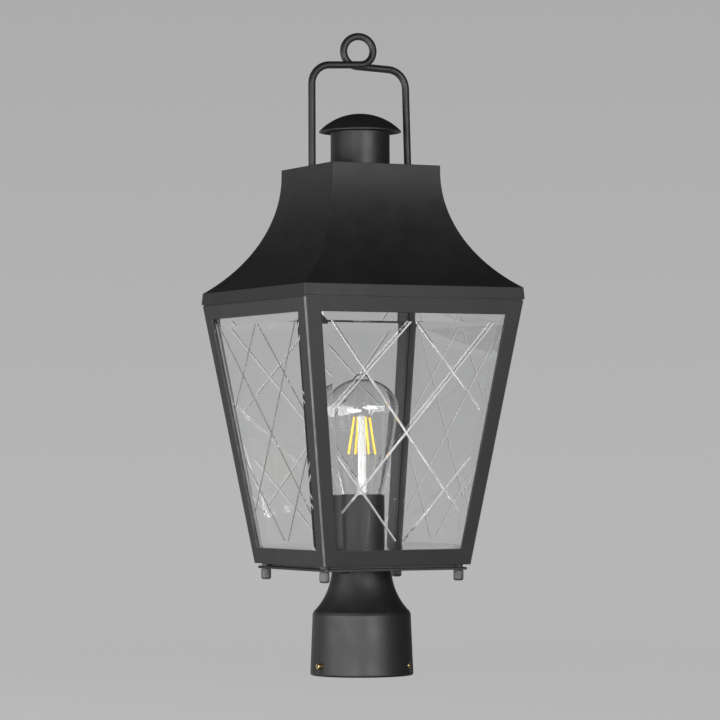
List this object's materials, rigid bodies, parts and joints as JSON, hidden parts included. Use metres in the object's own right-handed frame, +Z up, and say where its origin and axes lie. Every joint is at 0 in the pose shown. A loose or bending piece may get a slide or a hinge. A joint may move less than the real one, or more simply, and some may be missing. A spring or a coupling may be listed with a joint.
{
  "type": "post top lantern",
  "caption": "Square tapered glass lantern with a round post fitter, concave roof, vented chimney, dome cap, looped wire handle and an upright filament lamp.",
  "frame": {"origin": "centre of the fitter's bottom rim, on the post's axis", "axes": "+Z up, -Y towards the front pane, +X to the right seen from the front"},
  "size_m": [0.1982, 0.1982, 0.5281],
  "materials": {
    "black_coat": "satin",
    "clear_glass": "clear",
    "bulb_glass": "clear",
    "plated_steel": "satin",
    "brass": "satin",
    "black_plastic": "matte",
    "grey_rubber": "matte",
    "filament_yellow": "matte"
  },
  "bodies": {
    "base": {"post_fitter": "black_coat", "base_plate": "black_coat", "foot_gasket": "grey_rubber", "foot_spacers": "grey_rubber", "threaded_nipple": "plated_steel", "nipple_nuts": "plated_steel", "lock_washer": "plated_steel", "socket_strap": "plated_steel", "strap_screws": "black_coat", "strap_nuts": "plated_steel", "socket_cup": "black_plastic", "socket_sleeve": "black_plastic", "socket_body": "black_plastic", "socket_shell": "brass", "socket_contact": "brass"},
    "head": {"front_frame": "black_coat", "right_frame": "black_coat", "back_frame": "black_coat", "left_frame": "black_coat", "front_pane": "clear_glass", "right_pane": "clear_glass", "back_pane": "clear_glass", "left_pane": "clear_glass", "low_clips": "plated_steel", "high_clips": "plated_steel", "clip_screws": "plated_steel", "corner_gussets": "plated_steel", "gusset_screws": "plated_steel", "cage_top_ring": "black_coat", "roof_shell": "black_coat", "roof_screws": "black_coat", "roof_nuts": "plated_steel", "backing_plate": "black_coat", "chimney_tube": "black_coat", "dome_cap": "black_coat", "dome_bridge": "black_coat", "dome_screw": "plated_steel", "handle": "black_coat"},
    "bulb": {"bulb_cap": "plated_steel", "cap_insulator": "black_plastic", "cap_contact": "plated_steel", "bulb_glass": "bulb_glass", "bulb_stem": "bulb_glass", "bulb_filaments": "filament_yellow", "bulb_wires": "plated_steel"},
    "thumb_screw_front_right": {"thumb_screw_front_right": "black_coat"},
    "thumb_screw_back_right": {"thumb_screw_back_right": "black_coat"},
    "thumb_screw_back_left": {"thumb_screw_back_left": "black_coat"},
    "thumb_screw_front_left": {"thumb_screw_front_left": "black_coat"},
    "set_screw_1": {"set_screw_1": "brass"},
    "set_screw_2": {"set_screw_2": "brass"},
    "set_screw_3": {"set_screw_3": "brass"}
  },
  "joints": [
    {"name": "head_lift", "type": "slide", "parent": "base", "child": "head", "axis": [0, 0, 1], "range_m": [0, 0.17]},
    {"name": "bulb_unscrew", "type": "slide", "parent": "base", "child": "bulb", "axis": [0, 0, 1], "range_m": [0, 0.025]},
    {"name": "thumb_screw_front_right_turn_out", "type": "slide", "parent": "base", "child": "thumb_screw_front_right", "axis": [0, 0, -1], "range_m": [0, 0.01]},
    {"name": "thumb_screw_back_right_turn_out", "type": "slide", "parent": "base", "child": "thumb_screw_back_right", "axis": [0, 0, -1], "range_m": [0, 0.01]},
    {"name": "thumb_screw_back_left_turn_out", "type": "slide", "parent": "base", "child": "thumb_screw_back_left", "axis": [0, 0, -1], "range_m": [0, 0.01]},
    {"name": "thumb_screw_front_left_turn_out", "type": "slide", "parent": "base", "child": "thumb_screw_front_left", "axis": [0, 0, -1], "range_m": [0, 0.01]},
    {"name": "set_screw_1_turn_in", "type": "slide", "parent": "base", "child": "set_screw_1", "axis": [0.9833, 0.1822, 0], "range_m": [0, 0.003]},
    {"name": "set_screw_2_turn_in", "type": "slide", "parent": "base", "child": "set_screw_2", "axis": [-0.6494, 0.7604, 0], "range_m": [0, 0.003]},
    {"name": "set_screw_3_turn_in", "type": "slide", "parent": "base", "child": "set_screw_3", "axis": [-0.3338, -0.9426, 0], "range_m": [0, 0.003]}
  ]
}
